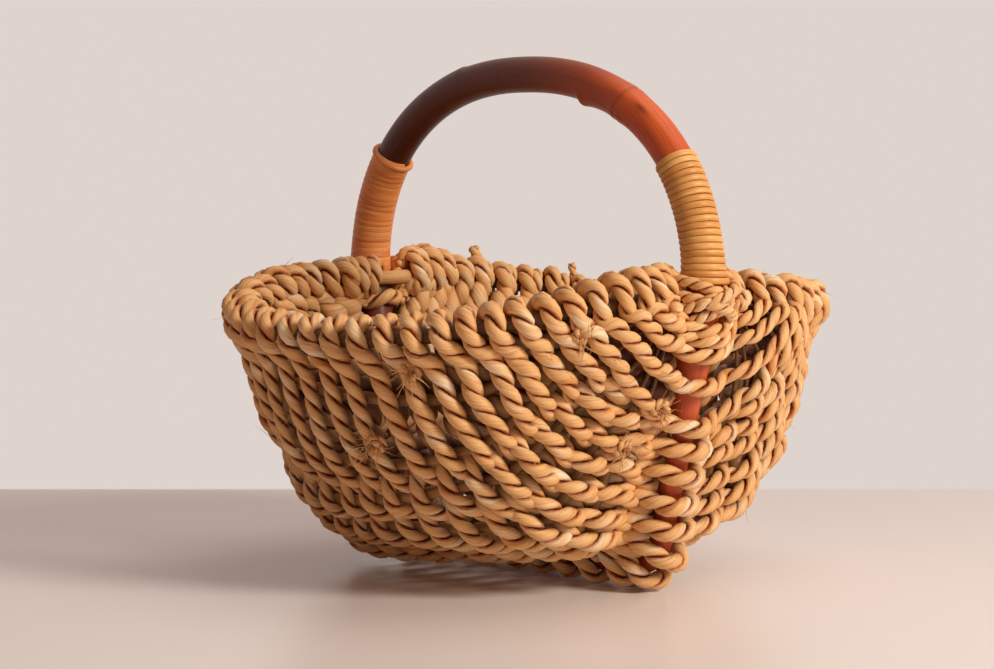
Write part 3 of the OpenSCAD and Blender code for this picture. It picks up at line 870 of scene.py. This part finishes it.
# Whole rattan stem, peeled, bent over steam and wiped with varnish: red-brown with a silky shine.
# Along its length the colour is partly its own and partly painted light and shade: bright orange at
# the right-hand end and on the right-hand leg, where the light comes from, dark at the crown, nearly
# black at the arch's left-hand end, and dark on the left-hand leg and along the bottom, in shade.
stains_light_and_shade = [(0.0, "#dc662c"), (joint - 8, "#dc662c"), (joint + 14, "#be5629"),
          (arch_place(86), "#76361f"), (arch_place(120), "#5c2617"), (arch_end, "#522417"),
          (arch_end + 25, "#8a3a1c"), (pole_end - 140, "#8a3a1c"), (pole_end - 110, "#d8663a"),
          (pole_end, "#d46a40")]
varnished = rattan_material("varnished_rattan",
                            [(0.3, "#dcc8bc"), (0.5, "#f0e4dc"), (0.68, "#ffffff")], "#8a5a40",
                            girth=50.0, roughness=0.42, coat=0.04, tint=stains_light_and_shade)
handle = rod_rings(pole, skin, pole_sides, closed=True, tone=marks.clip(0, 1))
make_piece("handle_pole", [handle], varnished, "rattan_pole", "handle_hoop")

# %% Rim hoop and ribs
half_hoop = spaced(rim_half, 0, 130)
hoop = np.vstack([half_hoop[:-1], (half_hoop * mirror_y)[::-1][:-1]])
# Rods that lie under the cords are drawn dark with painted shade. Bare ends keep their colour.
covered_shade = 0.25
covered = rise(np.abs(hoop[:, 1]), start=16, end=21)
rim_rod = rod_rings(hoop, hoop_r, 12, closed=True, tone=mix(1.0, covered_shade, covered)[:, None])
make_piece("rim_rod", [rim_rod], bare_rattan, "rattan_rod", "rim_hoop")
# Painted shade on the ribs under the cords, darker towards the right-hand end.
rib_shade = mix(0.3, 0.6, smooth(net_rows / 24))[:, None]
rib_size = np.minimum(rib_r, np.maximum(0.2 * rib_room - seat_gap, 0.6))
for side, flip in (("near", mirror_y), ("far", np.ones(3))):
    rods = []
    for k in range(1, ribs + 1):
        line = (net[:, 2 * k] + net_out[:, 2 * k] * rib_shift[:, None]) * flip
        rods.append(rod_rings(line, rib_size, 8, tone=rib_shade))
    make_piece(f"rib_rods_{side}", rods, bare_rattan, "rattan_rod",
               *(f"rib_{side}_{k}" for k in range(1, ribs + 1)))

# %% [markdown]
# ## Cane bindings
# Both ends of the arch are wound with a strip of peeled cane, turn against turn. The right-hand
# one is fresh and golden, the left-hand one has gone brown. A Screw modifier winds round a straight
# axis only, and the arch bends, so the strip's rings are laid round the arch's own line.

# %% Cane materials
# Cane, the skin of the rattan stem, split and shaved flat: hard and smooth with a low shine.
# The golden one is new. The browned one is older, and the sun has turned it orange-brown.
cane_girth, cane_coat = 8.0, 0.05
golden_cane = rattan_material("golden_cane", [(0.3, "#d08c44"), (0.5, "#e0a35a"), (0.7, "#ecb872")],
                              "#a8682c", cane_girth, roughness=0.42, coat=cane_coat)
brown_cane = rattan_material("browned_cane", [(0.3, "#dc7a40"), (0.5, "#ee9652"), (0.7, "#f8b06e")],
                             "#8a4a22", cane_girth, roughness=0.45, coat=cane_coat)
print("materials:", golden_cane.name, brown_cane.name)

# %% Bindings
cane_w, cane_t, cane_turns, binding_start = 2.75, 1.1, 20, 5.0
turn_steps, cane_sides, cane_round, flare_fade = 28, 8, 0.62, 5
mirror_x = np.array([-1.0, 1.0, 1.0])
across = np.array([0.0, 1.0, 0.0])


def binding_tube(overlap, flare):
    """The strip, wound up from the crossing. overlap: half its width, in widths of a turn."""
    steps = cane_turns * turn_steps
    t = np.linspace(0, 1, steps + 1)
    along = binding_start + cane_turns * cane_w * t
    centre = placed(arch, along)
    ahead = unit(placed(arch, along + 0.5) - placed(arch, along - 0.5))
    side = unit(np.cross(ahead, across))
    angle = 2 * np.pi * cane_turns * t
    outward = np.cos(angle)[:, None] * side + np.sin(angle)[:, None] * across
    swell = flare * np.exp((binding_start - along) / flare_fade)
    line = centre + outward * (pole_r + cane_t / 2 + swell)[:, None]
    around = 2 * np.pi * np.arange(cane_sides) / cane_sides
    rings = (line[:, None, :]
             + (np.cos(around) * cane_t * cane_round)[None, :, None] * outward[:, None, :]
             + (np.sin(around) * cane_w * overlap)[None, :, None] * ahead[:, None, :])
    return rings, distances(line), False, 1.0


right_tube = binding_tube(overlap=0.53, flare=2.0)
left_tube = binding_tube(overlap=0.95, flare=0.6)
left_tube = (left_tube[0] * mirror_x, *left_tube[1:])
print("a binding takes", round(float(right_tube[1][-1]) / 1000, 2), "m of cane")

# %% Ends of the bindings
ring_r, ring_points = 1.35, 48


def top_ring():
    """The last turn of the left-hand binding is tucked under itself and stands up as a ring."""
    end = binding_start + cane_turns * cane_w
    centre, ahead = placed(arch, np.array([end, end + 1.0]))
    side = unit(np.cross(unit(ahead - centre), across))
    angle = np.linspace(0, 2 * np.pi, ring_points, endpoint=False)[:, None]
    circle = centre + (pole_r + 1.0) * (np.cos(angle) * side + np.sin(angle) * across)
    return rod_rings(circle * mirror_x, ring_r, 10, closed=True)


def cane_curl():
    """The free end of the right-hand binding, curled up at its foot."""
    way = unit(np.array([0.8, -0.6, 0.0]))
    start = np.array([half_span, 0.0, rim_height + 3.0]) + way * (pole_r + 2.0)
    angle = np.linspace(0, 1.6 * np.pi, 20)[:, None]
    side = np.array([0.6, 0.8, 0.0])
    curl_r, flat, sink = 2.6, 0.7, [0.0, 0.0, 0.7]
    curl = (start + curl_r * (np.sin(angle) * side + (1 - np.cos(angle)) * way * flat)
            - angle * sink)
    return rod_rings(curl, np.linspace(1.2, 0.7, 20), 8)


for name, cane, tubes in (("right", golden_cane, [right_tube, cane_curl()]),
                          ("left", brown_cane, [left_tube, top_ring()])):
    make_piece(f"cane_{name}", tubes, cane, "cane_binding", f"binding_{name}")

# %% [markdown]
# ## Cross lashings
# Where pole and rim cross, a cord is wound round both in an X and then round the rim beside the
# pole, before the first row starts. Each strand is a short list of places on the pole or the hoop,
# made into cord by the same plies as the weaver, so that it looks cut from the same coil.

# %% Lashings
short_step = 1.5


def cord_tubes(points, scale, phase=0.0):
    """A short length of cord through the points, scale times as thick as the weaver."""
    line, along, _ = smooth_line(np.array(points, float), [], short_step)
    full = np.ones(len(line))
    return ply_tubes(line, full * scale, along, full, pitch=ply_pitch * scale, phase=phase)


def crossing_points(x_sign, y_sign, top, drop, layer):
    """One strand from a side of the rim, slanting down over the pole's outer face."""
    turns = np.radians([-125, -100, -75, -45, -15, 15, 45, 75, 100, 125])
    share = smooth(np.linspace(-0.1, 1.1, len(turns)))
    z = top - drop * share
    reach = pole_r + layer * np.cos(turns / 2) + 6 * smooth((np.abs(turns) - 1.3) / 1.3)
    centre = half_span - pole_lean * np.clip(rim_height - z, 0, None)
    return np.stack([x_sign * (centre + reach * np.cos(turns)),
                     y_sign * reach * np.sin(turns), z], axis=1)


tie_thick, tie_press, tie_drift = 0.8, 0.8, 2.2


def tie_points(x_sign, y_sign, along, lift):
    """A loop round the rim hoop beside the pole, a little over one turn."""
    centre = placed(rim_half, np.array([along - 1, along, along + 1]))
    ahead = unit(centre[2] - centre[0])
    up = np.array([0.0, 0.0, 1.0])
    out = unit(np.cross(ahead, up))
    turns = np.radians(np.linspace(-70, 300, 15))
    reach = hoop_r + cord_r * tie_thick - tie_press
    drift = np.linspace(-tie_drift, tie_drift, len(turns))[:, None] * ahead
    points = over_hoop(centre[1] + drift, out, up, turns, reach, lift)
    return points * np.array([x_sign, y_sign, 1.0])


print("a turn beside the pole is", round(distances(tie_points(1, 1, 16.5, 3.5))[-1]), "mm long")

# %% Lashings at both crossings
# Strands: side, height of the start, drop, height over the pole. Ties: side, place, height.
strands = [(1, 135, 12, 3.2), (-1, 135, 12, 5.6), (1, 129, 12, 5.4), (-1, 129, 12, 3.0)]
ties = {"right": [(-1, 13.5, 5.0), (-1, 20.5, 6.0), (1, 11.5, 3.5), (1, 16.5, 3.5), (1, 21.5, 3.0)],
        "left": [(-1, 9.5, 2.0), (-1, 15.0, 2.0), (-1, 20.5, 1.5), (1, 16.5, 5.5), (1, 21.5, 6.0)]}
for name, x_sign in (("right", 1), ("left", -1)):
    tubes = []
    for n, strand in enumerate(strands):
        tubes += cord_tubes(crossing_points(x_sign, *strand), scale=0.56, phase=n)
    for n, tie in enumerate(ties[name]):
        tubes += cord_tubes(tie_points(x_sign, *tie), scale=0.78, phase=2 * n)
    make_piece(f"cross_lashing_{name}", tubes, seagrass, "seagrass_cord", f"lashing_{name}")

# %% [markdown]
# ## Extra turns on the far rim
# On the far side the rim is wound closer: a spare turn of cord lies between each pair of loops. The
# loops could be made thicker instead, but then they would lose their twist, so turns are added.

# %% Extra turns on the far rim
rim_run = distances(rim_half)[-1] - 2 * first_row_rim
turns = []
for j in range(9, weaver_rows, 2):
    t = (row_at[j] + row_at[j + 1]) / 2
    place = first_row_rim + rim_run * t / rows
    turns += cord_tubes(tie_points(1, 1, place, lift=0.5), scale=0.74, phase=j)
make_piece("far_rim_turns", turns, seagrass, "seagrass_cord")

# %% [markdown]
# ## Splices, loose ends and fibres
# The weaver is many short cords in truth. Where one ends it is knotted to the next and frays, two
# ends stand up from the far rim, and fine fibres stick out of the whole cord. Hair particles are no
# mesh, so each fibre is a thin rod of its own.

# %% Loose fibre material
# Torn seagrass leaf, dry and split by wear: dull straw, browner in stretches of about 3 mm. The real
# fibres are hair-thin, too fine to show, so they are drawn up to 0.7 mm thick.
loose, tree, shader = new_material("loose_grass_fibre")
_, shades = fibre_noise(tree, along_mm=3.0, around_mm=1.0, girth_mm=1.0, detail=2.0)
dry = add(tree, "ValToRGB", {"Fac": shades},
          stops=[(0.3, "#b87c46"), (0.5, "#d8a066"), (0.7, "#ecc694")])
tree.links.new(dry.outputs["Color"], shader.inputs["Base Color"])
shader.inputs["Roughness"].default_value = 0.6
print("material:", loose.name)

# %% Knots and rim ends
fibres, knot_cords = [], []


def add_fibre(start, way, bend, lengths, radii):
    """A short thin fibre with a bent end. The dice pick its bend, length and radius."""
    bend, length, radius = dice.normal(0, bend, 3), dice.uniform(*lengths), dice.uniform(*radii)
    w = np.linspace(0, 1, 4)[:, None]
    points = start + unit(way) * length * w + bend * length * 0.4 * w ** 2
    fibres.append(rod_rings(points, radius * np.array([1.0, 0.9, 0.7, 0.3]), 3))


# Station, half-bay and side of each splice.
knot_places = [(22, 11, -1), (9, 11, -1), (27, 9, -1), (10, 3, -1), (6.4, 2, -1), (40, 8, 1)]
knot_lift, knot_r, knot_fibres = 7.5, 3.4, 26
for n, (t, h, side) in enumerate(knot_places):
    flip = np.array([1.0, side, 1.0])
    centre, ahead, up, out = (between(table[:, h], t) * flip
                              for table in (net, net_along, net_up, net_out))
    centre = centre + out * (between(rib_shift, t) + knot_lift)
    a = np.radians(np.linspace(0, 420, 13))[:, None] + n
    knot = (centre + knot_r * (np.cos(a) * ahead + np.sin(a) * up)
            + np.linspace(-1.5, 2.0, 13)[:, None] * out)
    knot_cords += cord_tubes(knot, scale=0.42, phase=n)
    for _ in range(knot_fibres):
        way = ahead * dice.normal(0, 0.7) + up * dice.normal(-0.2, 0.8) + out * dice.uniform(0.1, 0.7)
        start = centre + dice.normal(0, 1.6, 3) + out * 1.5
        add_fibre(start, way, bend=0.6, lengths=(5, 11), radii=(0.16, 0.34))
for t, tall, scale in ((56, 15.5, 0.62), (47, 14.5, 0.45)):
    base, up, ahead = (between(table[:, half_bays], t) for table in (net, net_up, net_along))
    knot_cords += cord_tubes([base + up * mix(5, tall, w) + ahead * 2.5 * w * w
                              for w in np.linspace(0, 1, 6)], scale)
make_piece("splice_knots", knot_cords, seagrass, "seagrass_cord")

# %% Stray fibres
stray_count, end_rings = 420, 20
for i in dice.integers(end_rings, len(weaver) - end_rings, stray_count):
    tangent = unit(weaver[i + 1] - weaver[i - 1])
    spread = unit(weaver_out[i] + dice.normal(0, 0.5, 3))
    start = weaver[i] + spread * cord_r * weaver_thick[i] * 0.9
    way = tangent * dice.choice([-1.0, 1.0]) + spread * dice.uniform(0.2, 0.8)
    add_fibre(start, way, bend=0.5, lengths=(4, 10), radii=(0.08, 0.16))
above_floor = [-np.inf, -np.inf, floor_clear]
fibres = [(np.maximum(rings, above_floor), *rest) for rings, *rest in fibres]
make_piece("stray_fibres", fibres, loose, "seagrass_cord")
